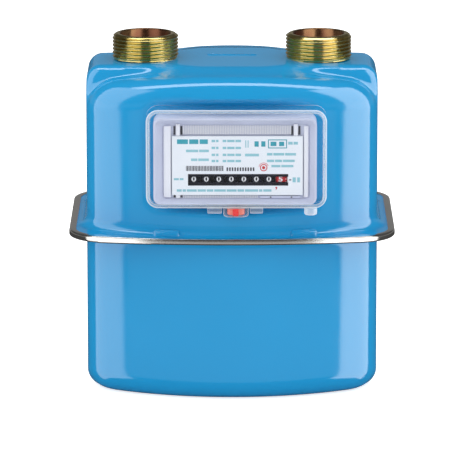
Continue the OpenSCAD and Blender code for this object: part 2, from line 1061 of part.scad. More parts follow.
module outlet_seal() {
    color("#2a2a2a")
        translate([boss_pitch / 2, 0, 0])
            ring(boss_spigot_r, boss_spigot_r - 3.5, tube_flange_z + 1.4, boss_foot_z);
}

screw_row_z = 22;

// Screws along the lower edge of each chamber cover
module chamber_screws() {
    color("#8a8d90")
        for (rear = [false, true])
            each_side(rear)
                for (x = [-56, -20, 20, 56])
                    translate([x, -chamber_front, screw_row_z])
                        rotate([90, 0, 0])
                            cylinder(r = 2.2, h = 1.4);
}

upper_case();
lower_case();
flange_gasket();
clamp_band();
inlet_boss();
outlet_boss();
index_cover();
index_tray();
index_faceplate();
index_screws();
seal_plug();
seal_core();
cover_peg();
wheel_axle();
pinion_axle();
for (k = [1:wheel_n])
    number_wheel(k);
for (k = [1:wheel_n - 1])
    transfer_pinion(k);
index_shaft();
index_pinion();
contrate_wheel();
shaft_bush();
measuring_frame();
front_chamber_cover();
rear_chamber_cover();
front_diaphragm();
rear_diaphragm();
front_pan();
rear_pan();
front_flag();
rear_flag();
front_arm();
rear_arm();
front_link();
rear_link();
flag_bushes();
valve_plate();
rotary_valve();
crank();
crank_pinion();
crank_bridge();
outlet_tube();
outlet_seal();
chamber_screws();
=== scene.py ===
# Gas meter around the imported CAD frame: detailed meshes and procedural materials.
# Blender works in metres; the sizes below are in millimetres and MM converts them.
import math

import bmesh
import bpy
import numpy as np
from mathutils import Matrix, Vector


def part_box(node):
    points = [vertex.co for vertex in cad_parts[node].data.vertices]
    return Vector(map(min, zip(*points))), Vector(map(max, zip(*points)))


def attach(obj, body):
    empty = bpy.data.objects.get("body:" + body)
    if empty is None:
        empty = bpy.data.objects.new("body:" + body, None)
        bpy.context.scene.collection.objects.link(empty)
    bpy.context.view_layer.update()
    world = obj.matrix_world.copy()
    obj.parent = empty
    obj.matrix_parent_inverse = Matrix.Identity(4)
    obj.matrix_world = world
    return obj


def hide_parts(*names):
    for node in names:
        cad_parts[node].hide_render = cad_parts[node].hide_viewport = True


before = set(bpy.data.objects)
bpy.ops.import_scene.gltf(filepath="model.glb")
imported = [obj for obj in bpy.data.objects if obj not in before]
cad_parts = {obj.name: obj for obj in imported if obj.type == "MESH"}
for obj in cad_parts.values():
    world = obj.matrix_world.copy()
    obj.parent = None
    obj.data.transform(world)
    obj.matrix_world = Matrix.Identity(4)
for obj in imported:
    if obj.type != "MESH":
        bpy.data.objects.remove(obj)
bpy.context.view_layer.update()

MM = 0.001


def cad(node):
    """Lowest and highest corner of a CAD node, in millimetres."""
    lo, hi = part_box(node)
    return Vector(lo) / MM, Vector(hi) / MM


# ---------- materials ----------
def new_material(name):
    """Material with one Principled shader: returns it with its tree and shader."""
    mat = bpy.data.materials.new(name)
    mat.use_nodes = True
    tree = mat.node_tree
    return mat, tree, tree.nodes["Principled BSDF"]


def node(tree, kind, **settings):
    """New node, with its properties set, then its sockets by name."""
    n = tree.nodes.new(kind)
    for key, value in settings.items():
        if hasattr(n, key):
            setattr(n, key, value)
        else:
            n.inputs[key.replace("_", " ")].default_value = value
    return n


def noise(tree, scale, detail=2.0, stretch=(1, 1, 1)):
    """Noise over the object's own coordinates, stretched by axis. Returns its factor."""
    coords = node(tree, "ShaderNodeTexCoord")
    mapping = node(tree, "ShaderNodeMapping")
    mapping.inputs["Scale"].default_value = stretch
    tex = node(tree, "ShaderNodeTexNoise", Scale=scale, Detail=detail)
    tree.links.new(coords.outputs["Object"], mapping.inputs["Vector"])
    tree.links.new(mapping.outputs["Vector"], tex.inputs["Vector"])
    return tex.outputs["Fac"]


def ramp(tree, fac, stops):
    """Colour ramp over a factor; stops are (place, colour)."""
    n = node(tree, "ShaderNodeValToRGB")
    elements = n.color_ramp.elements
    while len(elements) < len(stops):
        elements.new(0.5)
    for element, (place, colour) in zip(elements, stops):
        element.position = place
        element.color = (*colour, 1)
    tree.links.new(fac, n.inputs["Fac"])
    return n.outputs["Color"]


def span(tree, fac, low, high):
    """A factor from 0.3 to 0.7 mapped on to low..high."""
    n = node(tree, "ShaderNodeMapRange")
    for name, value in (("From Min", 0.3), ("From Max", 0.7), ("To Min", low), ("To Max", high)):
        n.inputs[name].default_value = value
    tree.links.new(fac, n.inputs["Value"])
    return n.outputs["Result"]


def bump(tree, shader, height, strength, distance):
    """Bump from a height, into the shader's normal."""
    n = node(tree, "ShaderNodeBump", Strength=strength, Distance=distance)
    tree.links.new(height, n.inputs["Height"])
    tree.links.new(n.outputs["Normal"], shader.inputs["Normal"])


def mottled(name, dark, light, rough, scale=40.0, metallic=0.0, coat=0.0, bumps=0.0,
            stretch=(1, 1, 1)):
    """Plain material: two tones in slow noise, roughness range, fine grain in the bump."""
    mat, tree, shader = new_material(name)
    slow = noise(tree, scale, 3.0, stretch)
    tree.links.new(ramp(tree, slow, [(0.3, dark), (0.7, light)]), shader.inputs["Base Color"])
    fine = noise(tree, 400.0, 2.0, stretch)
    tree.links.new(span(tree, fine, *rough), shader.inputs["Roughness"])
    shader.inputs["Metallic"].default_value = metallic
    shader.inputs["Coat Weight"].default_value = coat
    shader.inputs["Coat Roughness"].default_value = 0.03
    if bumps:
        bump(tree, shader, fine, bumps, 0.0001)
    return mat


def clear_plastic(name, tint, low, high, milk=(0.0, 0.0), sharp=0.9):
    """Thin clear plastic: see-through face on, glossier and milkier where it turns away."""
    mat, tree, _ = new_material(name)
    tree.nodes.clear()
    through = node(tree, "ShaderNodeBsdfTransparent", Color=(*tint, 1))
    gloss = node(tree, "ShaderNodeBsdfGlossy", Color=(1, 1, 1, 1))
    tree.links.new(span(tree, noise(tree, 90.0), 0.02, 0.05), gloss.inputs["Roughness"])
    turned = node(tree, "ShaderNodeLayerWeight", Blend=0.5)

    def share(power, least, most):
        """Share of a layer: least where the surface faces the eye, most where it is edge on."""
        steep = node(tree, "ShaderNodeMath", operation="POWER")
        steep.inputs[1].default_value = power
        tree.links.new(turned.outputs["Facing"], steep.inputs[0])
        part = node(tree, "ShaderNodeMapRange")
        part.inputs["To Min"].default_value = least
        part.inputs["To Max"].default_value = most
        tree.links.new(steep.outputs[0], part.inputs["Value"])
        return part.outputs["Result"]

    mix = node(tree, "ShaderNodeMixShader")
    tree.links.new(share(3.5, low, high), mix.inputs["Fac"])
    tree.links.new(through.outputs["BSDF"], mix.inputs[1])
    tree.links.new(gloss.outputs["BSDF"], mix.inputs[2])
    out = node(tree, "ShaderNodeOutputMaterial")
    if milk[1]:
        haze = node(tree, "ShaderNodeBsdfDiffuse", Color=(*tint, 1))
        blend = node(tree, "ShaderNodeMixShader")
        tree.links.new(share(sharp, *milk), blend.inputs["Fac"])
        tree.links.new(mix.outputs["Shader"], blend.inputs[1])
        tree.links.new(haze.outputs["BSDF"], blend.inputs[2])
        mix = blend
    tree.links.new(mix.outputs["Shader"], out.inputs["Surface"])
    return mat


def make_paint():
    """Gloss sky-blue powder coat with a faint orange peel under its clear surface."""
    mat, tree, shader = new_material("paint_blue")
    slow = noise(tree, 9.0, 2.0)
    tone = ramp(tree, slow, [(0.3, (0.010, 0.302, 0.622)), (0.7, (0.013, 0.318, 0.650))])
    tree.links.new(tone, shader.inputs["Base Color"])
    tree.links.new(span(tree, noise(tree, 60.0), 0.09, 0.12), shader.inputs["Roughness"])
    shader.inputs["Specular IOR Level"].default_value = 0.9
    bump(tree, shader, noise(tree, 350.0, 1.0), 0.01, 0.0001)
    return mat


def make_stainless():
    """Rolled stainless strip: long faint streaks round the band."""
    mat, tree, shader = new_material("band_stainless")
    streak = noise(tree, 30.0, 3.0, (0.4, 0.4, 12.0))
    tone = ramp(tree, streak, [(0.3, (0.74, 0.72, 0.68)), (0.7, (0.90, 0.89, 0.86))])
    tree.links.new(tone, shader.inputs["Base Color"])
    tree.links.new(span(tree, streak, 0.10, 0.18), shader.inputs["Roughness"])
    shader.inputs["Metallic"].default_value = 1.0
    return mat


def make_chromate(name, tones, rough):
    """Yellow passivated zinc: gold with olive and pink tints in slow patches."""
    mat, tree, shader = new_material(name)
    tint = noise(tree, 45.0, 3.0, (1, 1, 0.35))
    places = (0.25, 0.45, 0.6, 0.8)
    tree.links.new(ramp(tree, tint, list(zip(places, tones))), shader.inputs["Base Color"])
    tree.links.new(span(tree, noise(tree, 200.0), *rough), shader.inputs["Roughness"])
    shader.inputs["Metallic"].default_value = 1.0
    bump(tree, shader, noise(tree, 500.0, 2.0), 0.04, 0.0001)
    return mat


PAINT = make_paint()
STAINLESS = make_stainless()
CHROMATE = make_chromate("zinc_yellow", [(0.34, 0.26, 0.08), (0.66, 0.54, 0.20),
                                         (0.76, 0.62, 0.27), (0.60, 0.36, 0.20)], (0.13, 0.22))
BORE = make_chromate("zinc_bore", [(0.09, 0.035, 0.02), (0.24, 0.10, 0.055), (0.38, 0.22, 0.10),
                                   (0.16, 0.06, 0.04)], (0.2, 0.32))
CLEAR = clear_plastic("cover_clear", (0.985, 0.992, 1.0), 0.02, 0.75)
# The edge material's white haze at grazing angles is a painted highlight on the cover's rounded
# edges
CLEAR_EDGE_HIGHLIGHT = clear_plastic("cover_edge_painted_highlight", (0.95, 0.98, 1.0), 0.06, 0.6, (0.05, 1.0))
TRAY = mottled("tray_lavender", (0.62, 0.65, 0.80), (0.68, 0.71, 0.86), (0.3, 0.45), bumps=0.05)
PLATE = mottled("plate_white", (0.84, 0.88, 0.94), (0.89, 0.92, 0.97), (0.35, 0.5), bumps=0.03)
INK_TEAL = mottled("ink_teal", (0.02, 0.33, 0.42), (0.05, 0.40, 0.50), (0.5, 0.6))
INK_PALE = mottled("ink_pale", (0.25, 0.55, 0.63), (0.33, 0.62, 0.70), (0.5, 0.6))
INK_DARK = mottled("ink_dark", (0.05, 0.05, 0.07), (0.09, 0.09, 0.11), (0.5, 0.6))
INK_RED = mottled("ink_red", (0.62, 0.03, 0.04), (0.72, 0.05, 0.06), (0.45, 0.6))
INK_WHITE = mottled("ink_white", (0.85, 0.86, 0.90), (0.92, 0.92, 0.95), (0.45, 0.6))
DRUM_BLACK = mottled("drum_black", (0.005, 0.005, 0.016), (0.011, 0.011, 0.028), (0.3, 0.45))
DRUM_RED = mottled("drum_red", (0.55, 0.012, 0.02), (0.63, 0.02, 0.03), (0.3, 0.45))
ACETAL = mottled("acetal", (0.62, 0.60, 0.52), (0.72, 0.70, 0.62), (0.35, 0.5), bumps=0.05)
STEEL = mottled("drawn_steel", (0.50, 0.50, 0.52), (0.62, 0.62, 0.63), (0.2, 0.35),
                metallic=1.0, stretch=(1, 1, 8))
ALUMINIUM = mottled("cast_aluminium", (0.46, 0.47, 0.49), (0.58, 0.59, 0.60), (0.35, 0.55),
                    metallic=1.0, bumps=0.15)
UNIT = mottled("unit_moulding", (0.10, 0.11, 0.12), (0.15, 0.16, 0.17), (0.4, 0.6), bumps=0.1)
BRASS = mottled("stamped_brass", (0.55, 0.38, 0.14), (0.70, 0.50, 0.20), (0.25, 0.4), metallic=1.0)
RUBBER = mottled("nitrile", (0.012, 0.012, 0.013), (0.025, 0.025, 0.026), (0.6, 0.8), bumps=0.2)
LEATHER = mottled("coated_fabric", (0.16, 0.09, 0.045), (0.26, 0.16, 0.085), (0.5, 0.7), bumps=0.3)
VALVE = mottled("phenolic", (0.02, 0.02, 0.022), (0.045, 0.04, 0.04), (0.3, 0.5), bumps=0.1)
SEAL_RED = mottled("seal_red", (0.78, 0.012, 0.012), (0.88, 0.025, 0.02), (0.25, 0.4))
SEAL_CLEAR = clear_plastic("seal_clear", (0.99, 0.97, 0.98), 0.02, 0.4, (0.02, 1.0), 2.2)
SEAL_PINK = mottled("seal_pink", (0.76, 0.17, 0.12), (0.85, 0.26, 0.20), (0.2, 0.35), coat=0.4)
RAIL = mottled("tray_white", (0.84, 0.85, 0.92), (0.90, 0.91, 0.96), (0.3, 0.45), bumps=0.04)
MILKY = clear_plastic("milky_clear", (0.90, 0.95, 1.0), 0.05, 0.5, (0.30, 0.95))
CLIP = clear_plastic("clip_clear", (0.86, 0.93, 1.0), 0.08, 0.6, (0.10, 0.85))


# ---------- mesh helpers ----------
def mesh_object(name, verts, faces, mat):
    """Object in the scene from millimetre points and faces, with one material."""
    mesh = bpy.data.meshes.new(name)
    mesh.from_pydata([Vector(v) * MM for v in verts], [], faces)
    mesh.materials.append(mat)
    obj = bpy.data.objects.new(name, mesh)
    bpy.context.scene.collection.objects.link(obj)
    return obj


def placed(obj, of, body="root"):
    """Parents the piece to the empty of the body that it rides on, and hides the CAD nodes that it
    stands for.
    """
    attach(obj, body)
    if of:
        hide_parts(*of)
    return obj


def solid(name, verts, faces, mat, slot, body="root", of=()):
    """Closed piece with doubled points merged and its faces turned outward."""
    obj = mesh_object(name, verts, faces, mat)
    bm = bmesh.new()
    bm.from_mesh(obj.data)
    bmesh.ops.remove_doubles(bm, verts=bm.verts, dist=1e-6)
    bmesh.ops.dissolve_degenerate(bm, edges=bm.edges, dist=1e-7)
    bmesh.ops.recalc_face_normals(bm, faces=bm.faces)
    for face in bm.faces:
        face.smooth = True
    bm.to_mesh(obj.data)
    bm.free()
    return placed(obj, of, body)


def applied(obj):
    """Puts the object's modifiers into its mesh."""
    dg = bpy.context.evaluated_depsgraph_get()
    done = bpy.data.meshes.new_from_object(obj.evaluated_get(dg))
    obj.modifiers.clear()
    obj.data = done


def soften(obj, width, segments):
    """Rounds the sharp edges and keeps the faces between them flat."""
    mod = obj.modifiers.new("edges", "BEVEL")
    mod.width = width * MM
    mod.segments = segments
    mod.limit_method = "ANGLE"
    mod.angle_limit = math.radians(30)
    mod.harden_normals = False
    applied(obj)
    return shade_by_angle(obj, 35)


def shade_by_angle(obj, degrees):
    """Smooth shading, with sharp edges kept above an angle."""
    bm = bmesh.new()
    bm.from_mesh(obj.data)
    limit = math.radians(degrees)
    for edge in bm.edges:
        edge.smooth = len(edge.link_faces) == 2 and edge.calc_face_angle(0) < limit
    for face in bm.faces:
        face.smooth = True
    bm.to_mesh(obj.data)
    bm.free()
    return obj


def loft(rings, close_rings=False, cap=(False, False)):
    """Points and quads between rings of equal length; the ring list can close on itself."""
    count = len(rings[0])
    verts = [p for ring in rings for p in ring]
    faces = []
    last = len(rings) if close_rings else len(rings) - 1
    for i in range(last):
        a = i * count
        b = ((i + 1) % len(rings)) * count
        for j in range(count):
            k = (j + 1) % count
            faces.append((a + j, a + k, b + k, b + j))
    if cap[0]:
        faces.append(tuple(range(count - 1, -1, -1)))
    if cap[1]:
        faces.append(tuple(range((len(rings) - 1) * count, len(rings) * count)))
    return verts, faces


QUARTER = math.pi / 2


def parts(count, first=0):
    """Even steps from 0 to 1, as fractions."""
    return [i / count for i in range(first, count + 1)]


def smooth(low, high, value):
    """Smooth step from 0 to 1, for a number or an array."""
    t = np.clip((value - low) / (high - low), 0.0, 1.0)
    return t * t * (3 - 2 * t)


# ---------- sizes of the case, in millimetres ----------
upper_lo, _ = cad("upper_case")
_, lower_hi = cad("lower_case")
band_lo, band_hi = cad("clamp_band")
boss_lo, boss_hi = cad("inlet_boss")
SHEET = 1.1
RIM_GAP = 0.7        # between the flanges' edge and the band
FLANGE = dict(width=band_hi.x - band_lo.x, depth=band_hi.y - band_lo.y, bow=400.0, corner=28.0)
BODY = dict(width=184.0, depth=148.0, bow=160.0, corner=28.0)
SIDE_STEPS, CORNER_STEPS, BOW_STEPS = 10, 24, 56
PAD_Y = -63.4        # floor of the recess that holds the index
POCKET = (-56.8, 122.5, 62.2, 190.6, 12.0)    # its x0, z0, x1, z1 and corner radius
POCKET_WALL = (-4.2, 3.4)    # its wall slopes from inside that outline to outside it
FLAT_INSET = 24.0    # how far in from the outline the top and the bottom have turned flat
HOLE_R = 18.6        # the holes under the connections
BOSS_X = (boss_lo.x + boss_hi.x) / -2
FLANGE_TOP = upper_lo.z + SHEET
FLANGE_LOW = lower_hi.z - SHEET


def outline(width, depth, bow, corner):
    """Bowed outline, counterclockwise from +x: points and the way out at each of them."""
    cx = width / 2 - corner
    cy = math.sqrt((bow - corner) ** 2 - cx ** 2) - (bow - depth / 2)
    turn = math.acos(cx / (bow - corner))
    rows = [(width / 2, cy * i / SIDE_STEPS, 1.0, 0.0) for i in range(SIDE_STEPS)]
    for i in range(CORNER_STEPS):
        a = turn * i / CORNER_STEPS
        rows.append((cx + corner * math.cos(a), cy + corner * math.sin(a),
                     math.cos(a), math.sin(a)))
    for i in range(BOW_STEPS + 1):
        a = turn + (QUARTER - turn) * i / BOW_STEPS
        rows.append((bow * math.cos(a), bow * math.sin(a) - (bow - depth / 2),
                     math.cos(a), math.sin(a)))
    quarter = np.array(rows)
    half = np.vstack([quarter, quarter[-2::-1] * (-1, 1, -1, 1)])
    whole = np.vstack([half, half[-2:0:-1] * (1, -1, 1, -1)])
    return whole[:, :2], whole[:, 2:]


body_line, body_out = outline(**BODY)
flange_line, flange_out = outline(**FLANGE)


def ring3(flat, z):
    """Flat points with their heights."""
    return np.column_stack([flat, np.broadcast_to(z, (len(flat),))])


def edge_radius(at_sides, at_bows, low, high):
    """Radius along the outline: small at the flat sides, larger where it turns to the bows."""
    return at_sides + (at_bows - at_sides) * smooth(low, high, np.abs(body_line[:, 1]))


DECK_Z, DECK_DROP, DECK_END = 207.3, 1.2, 85.0
DECK_HALF, DECK_SWELL = 27.0, 6.0
LOBE_Z, LOBE_FALL = 204.6, 1058.0


def top_height(x, y):
    """Height of the top: a deck along x, wider in the middle, with a lobe on either side.

    out is the distance past the deck's edge. ends grows from 0 in the middle, where the deck
    runs softly into the lobes, to 1 at the ends, where it has a sloped edge, a step and a groove.
    """
    deck = DECK_Z - DECK_DROP * (x / DECK_END) ** 2
    lobe = LOBE_Z - x ** 2 / LOBE_FALL
    swell = DECK_SWELL / 2 * (1 + np.cos(np.pi * np.clip((np.abs(x) - 17) / 18, 0, 1)))
    out = np.abs(y) - DECK_HALF - swell
    ends = smooth(24.0, 58.0, np.abs(x))
    slope = 0.37 * ends * (smooth(-5.0, -1.5, out) * 1.2 + np.clip(out + 1.5, 0, 2.2))
    reach = 15.0 - 12.0 * ends
    fall = 1 - np.exp(-(np.maximum(out - 0.6 * ends, 0) / reach) ** 1.7)
    dip = 0.5 * ends * np.exp(-((out - 8.0) / 3.0) ** 2)
    return deck - slope - (deck - lobe - slope) * fall - dip


def pocket_depth(x, z):
    """How far inside the index recess a point of the front lies, from 0 to 1."""
    x0, z0, x1, z1, r = POCKET
    dx = np.abs(x - (x0 + x1) / 2) - ((x1 - x0) / 2 - r)
    dz = np.abs(z - (z0 + z1) / 2) - ((z1 - z0) / 2 - r)
    away = np.hypot(np.maximum(dx, 0), np.maximum(dz, 0)) + np.minimum(np.maximum(dx, dz), 0) - r
    return 1 - smooth(*POCKET_WALL, away)


def recessed(points):
    """Presses the index recess into the front of a ring."""
    x, y, z = points.T
    push = np.where(y < 0, np.maximum(PAD_Y - y, 0), 0) * pocket_depth(x, z)
    return np.column_stack([x, y + push, z])


def skin(name, rings, of, hole_places=()):
    """Painted sheet: the outer face from rings, round holes in its top, thickness put inside."""
    obj = mesh_object(name, *loft(rings), PAINT)
    bm = bmesh.new()
    bm.from_mesh(obj.data)
    bmesh.ops.remove_doubles(bm, verts=bm.verts, dist=2e-5)
    bmesh.ops.dissolve_degenerate(bm, edges=bm.edges, dist=1e-6)
    radius, above = HOLE_R * MM, 195 * MM
    for hole_x in hole_places:
        centre = Vector((hole_x * MM, 0))
        gone = [f for f in bm.faces if f.calc_center_median().z > above
                and (f.calc_center_median().xy - centre).length < radius]
        bmesh.ops.delete(bm, geom=gone, context="FACES")
        for v in bm.verts:
            if v.is_boundary and v.co.z > above and (v.co.xy - centre).length < 1.3 * radius:
                flat = (v.co.xy - centre).normalized() * radius
                v.co.x, v.co.y = centre.x + flat.x, flat.y
    bm.to_mesh(obj.data)
    bm.free()
    mod = obj.modifiers.new("sheet", "SOLIDIFY")
    mod.thickness = SHEET * MM
    mod.offset = -1
    mod.use_even_offset = False
    applied(obj)
    return placed(shade_by_angle(obj, 50), of)


def closing_rings(last, height, count):
    """Rings from a closed curve in to a line along x, a little shorter than the curve."""
    rings = []
    target = np.column_stack([last[:, 0] * 0.85, np.zeros(len(last))])
    for t in parts(count, 1):
        flat = last[:, :2] * (1 - t) + target * t
        rings.append(ring3(flat, height(flat[:, 0], flat[:, 1])))
    return rings


def case_flange(z, wide):
    """Flat flange from its edge in to the foot of the fillet, which stands wide off the body."""
    edge = flange_line - flange_out * RIM_GAP
    foot = body_line + body_out * wide
    return [ring3(edge * (1 - t) + foot * t, z) for t in (0.0, 0.06, 0.35, 0.7)]


# ---------- upper case ----------
FLARE = 6.5      # fillet radius above the flange
rings = case_flange(FLANGE_TOP, FLARE)
for t in parts(8):
    flat = body_line + body_out * FLARE * (1 - math.sin(QUARTER * t))
    rings.append(ring3(flat, FLANGE_TOP + FLARE * (1 - math.cos(QUARTER * t))))
turn_r = edge_radius(9.0, 16.8, 22.0, 36.0)
low_z = FLANGE_TOP + FLARE
high_z = top_height(*body_line.T) - turn_r
for t in parts(72, 1):
    rings.append(recessed(ring3(body_line, low_z + (high_z - low_z) * t)))
for t in parts(14, 1):
    flat = body_line - body_out * (turn_r * (1 - math.cos(QUARTER * t)))[:, None]
    drop = turn_r * (1 - math.sin(QUARTER * t))
    rings.append(recessed(ring3(flat, top_height(*flat.T) - drop)))
for t in parts(5, 1):
    inset = turn_r + (FLAT_INSET - turn_r) * t
    flat = body_line - body_out * inset[:, None]
    rings.append(ring3(flat, top_height(*flat.T)))
rings += closing_rings(rings[-1], top_height, 44)
skin("upper_case_skin", rings, ("upper_case",), (-BOSS_X, BOSS_X))

# ---------- lower case ----------
NECK = 4.5       # fillet radius under the flange
foot_r = edge_radius(9.5, 13.5, 20.0, 40.0)
inner = body_line - body_out * FLAT_INSET
rings = closing_rings(ring3(inner, 0.0), lambda x, y: 0 * x, 12)[::-1]
for t in parts(5):
    inset = FLAT_INSET + (foot_r - FLAT_INSET) * t
    rings.append(ring3(body_line - body_out * inset[:, None], 0.0))
for t in parts(12, 1):
    flat = body_line - body_out * (foot_r * (1 - math.sin(QUARTER * t)))[:, None]
    rings.append(ring3(flat, foot_r * (1 - math.cos(QUARTER * t))))
for t in parts(24, 1):
    rings.append(ring3(body_line, foot_r + (FLANGE_LOW - NECK - foot_r) * t))
for t in parts(6, 1):
    flat = body_line + body_out * NECK * (1 - math.cos(QUARTER * t))
    rings.append(ring3(flat, FLANGE_LOW - NECK * (1 - math.sin(QUARTER * t))))
rings += case_flange(FLANGE_LOW, NECK)[::-1]
skin("lower_case_skin", rings, ("lower_case",))


# ---------- clamp band ----------
def band_section(out, low, high, thick, lip):
    """Closed section of the channel, as (inset from the flange outline, height)."""
    bend = 1.3

    def corner(ci, cz, r, a0, a1):
        """Points round one bend."""
        return [(ci - r * math.cos(math.radians(a)), cz + r * math.sin(math.radians(a)))
                for a in np.linspace(a0, a1, 6)]

    section = [(lip, high)]
    section += corner(out + bend, high - bend, bend, 90, 0)
    section += [(out, (low + high) / 2)]
    section += corner(out + bend, low + bend, bend, 0, -90)
    section += [(lip, low), (lip + 0.12, low + thick / 2), (lip, low + thick)]
    small = bend - thick
    section += corner(out + bend, low + bend, small, -90, 0)
    section += corner(out + bend, high - bend, small, 0, 90)
    section += [(lip, high - thick), (lip + 0.12, high - thick / 2)]
    return section


section = band_section(0.35, band_lo.z + 0.15, band_hi.z - 0.15, 0.5, 4.7)
rings = [ring3(flange_line - flange_out * d, z) for d, z in section]
band = solid("clamp_band_strip", *loft(rings, close_rings=True), STAINLESS, "stainless",
             of=("clamp_band",))
shade_by_angle(band, 50)
# The strip's outer end laps over the front left of the band
LAP_X0, LAP_X1 = -84, -50
section = band_section(0.0, band_lo.z, band_hi.z, 0.45, 4.8)
lap = [i for i, p in enumerate(flange_line) if p[1] < 0 and LAP_X0 < p[0] < LAP_X1]
rings = [[(*(flange_line[i] - flange_out[i] * d), z) for d, z in section] for i in lap]
lap_end = solid("clamp_band_lap", *loft(rings, cap=(True, True)), STAINLESS, "stainless")
shade_by_angle(lap_end, 50)


# ---------- threaded connections ----------
THREAD_PITCH, THREAD_DEPTH, THREAD_Z = 2.309, 1.38, 208.35


def threaded_boss(name, cx, of, lead):
    """Connection with a helical pipe thread, turned chamfers and a smooth bore.

    A profile point without a radius lies on the thread; lead is the turn that it starts at.
    """
    low, high = boss_lo.z, boss_hi.z
    crest, bore = (boss_hi.x - boss_lo.x) / 2, 16.0
    root, neck = crest - THREAD_DEPTH, 20.3
    steps = 120
    profile = [(bore, low), (18.0, low), (18.0, 206.6), (19.3, 206.75), (neck, 207.1)]
    z = 207.25
    while z < high - 0.35:
        profile.append((None, z))
        z += 0.12
    profile += [(18.75, high - 0.3), (18.45, high - 0.06), (18.2, high), (16.75, high),
                (16.45, high - 0.08), (bore, high - 0.75)]
    rings = []
    for r, z in profile:
        ring = []
        for i in range(steps):
            a = 2 * math.pi * i / steps
            radius = r
            if r is None:
                phase = (z - THREAD_Z) / THREAD_PITCH - a / (2 * math.pi) + lead
                wave = (0.5 - 0.5 * math.cos(2 * math.pi * phase)) ** 0.8
                fade = smooth(207.6, 208.6, z)
                radius = neck * (1 - fade) + (root + THREAD_DEPTH * wave) * fade
                radius = min(radius, 18.8 + (high - z) * 1.25)
            ring.append((cx + radius * math.cos(a), radius * math.sin(a), z))
        rings.append(ring)
    obj = solid(name, *loft(rings, close_rings=True), CHROMATE, "zinc_yellow", of=of)
    shade_by_angle(obj, 62)
    obj.data.materials.append(BORE)
    for face in obj.data.polygons:
        if (face.center.xy / MM - Vector((cx, 0))).length < bore + 0.3 and face.center.z > low * MM:
            face.material_index = 1


threaded_boss("inlet_boss_thread", -BOSS_X, ("inlet_boss",), 0.0)
threaded_boss("outlet_boss_thread", BOSS_X, ("outlet_boss",), 0.3)


# ---------- pressed marks on the case ----------
def relief(name, top, base, rows, cols):
    """Closed low relief between a top and a base surface, both over a square from -1 to 1."""
    verts, faces = [], []
    for surface in (top, base):
        for i in range(rows + 1):
            for j in range(cols + 1):
                verts.append(surface(-1 + 2 * i / rows, -1 + 2 * j / cols))
    size = (rows + 1) * (cols + 1)
    for i in range(rows):
        for j in range(cols):
            a = i * (cols + 1) + j
            b = a + cols + 1
            faces.append((a, a + 1, b + 1, b))
            faces.append((size + a, size + b, size + b + 1, size + a + 1))
    edge = list(range(cols)) + [i * (cols + 1) + cols for i in range(rows)]
    edge += [rows * (cols + 1) + j for j in range(cols, 0, -1)]
    edge += [i * (cols + 1) for i in range(rows, 0, -1)]
    for n, a in enumerate(edge):
        b = edge[(n + 1) % len(edge)]
        faces.append((a, size + a, size + b, b))
    solid(name, verts, faces, PAINT, "case_paint")


def fillet_bar(name, middle):
    """Capsule pressed outward across the fillet at the foot of the upper case, at the front."""
    half, round_end, rise = 8.25, 2.4, 1.5
    up, spread = 40, 26      # degrees up the fillet, and either way from there
    bow = BODY["bow"]

    def place(u, v, h):
        """Point at a height over the fillet; u runs along the front, v up the fillet."""
        x = middle + half * u
        a = math.radians(up + spread * v)
        out = Vector((x / bow, -math.sqrt(1 - (x / bow) ** 2)))
        reach = FLARE - h
        centre = Vector((x, bow - BODY["depth"] / 2 - math.sqrt(bow * bow - x * x))) + out * FLARE
        return (centre.x - out.x * reach * math.sin(a), centre.y - out.y * reach * math.sin(a),
                FLANGE_TOP + FLARE - reach * math.cos(a))

    def top(u, v):
        """Flat crown that falls below the fillet's surface at its rounded edge."""
        end = max(0.0, abs(u) * half - (half - round_end)) / round_end
        away = 1 - math.hypot(end, v)
        return place(u, v, -0.25 + (rise + 0.25) * smooth(0.0, 0.28, away))

    relief(name, top, lambda u, v: place(u, v, -0.6), 60, 16)


fillet_bar("case_bar_left", -40.25)
fillet_bar("case_bar_right", 44.25)


def deck_mark(name, outline_points):
    """Raised mark on the deck, from a closed outline in x and y."""
    rise = 0.5
    rings = []
    for grow, lift in ((0.0, -0.5), (0.0, rise - 0.25), (-0.12, rise - 0.06), (-0.3, rise)):
        ring = []
        count = len(outline_points)
        for i, p in enumerate(outline_points):
            before, after = outline_points[i - 1], outline_points[(i + 1) % count]
            way = Vector((after[0] - before[0], after[1] - before[1])).normalized()
            x, y = p[0] + way.y * grow, p[1] - way.x * grow
            ring.append((x, y, float(top_height(np.float64(x), np.float64(y))) + lift))
        rings.append(ring)
    shade_by_angle(solid(name, *loft(rings, cap=(True, True)), PAINT, "case_paint"), 40)


def capsule(p, q, r):
    """Closed outline round a straight stroke."""
    steps = 8
    p, q = Vector(p), Vector(q)
    way = (q - p).normalized()
    side = Vector((way.y, -way.x))
    points = []
    for centre, turn in ((p, QUARTER), (q, -QUARTER)):
        for i in range(steps + 1):
            a = turn + math.pi * i / steps
            points.append(tuple(centre + way * r * math.cos(a) - side * r * math.sin(a)))
    return points


deck_mark("deck_mark_shaft", capsule((-14.5, 8.0), (15.0, 8.0), 0.9))
deck_mark("deck_mark_head", capsule((-15.0, 8.6), (-12.2, 11.6), 0.8))


# ---------- index: tray, cover and plate ----------
cover_lo, cover_hi = cad("index_cover")
tray_lo, tray_hi = cad("index_tray")
plate_lo, _ = cad("index_faceplate")
COVER_Z0 = 126.0     # underside of the cover's box, above its two ledges
BLOCK_FACES = ((0, 1, 3, 2), (4, 6, 7, 5), (0, 4, 5, 1), (2, 3, 7, 6), (0, 2, 6, 4), (1, 5, 7, 3))


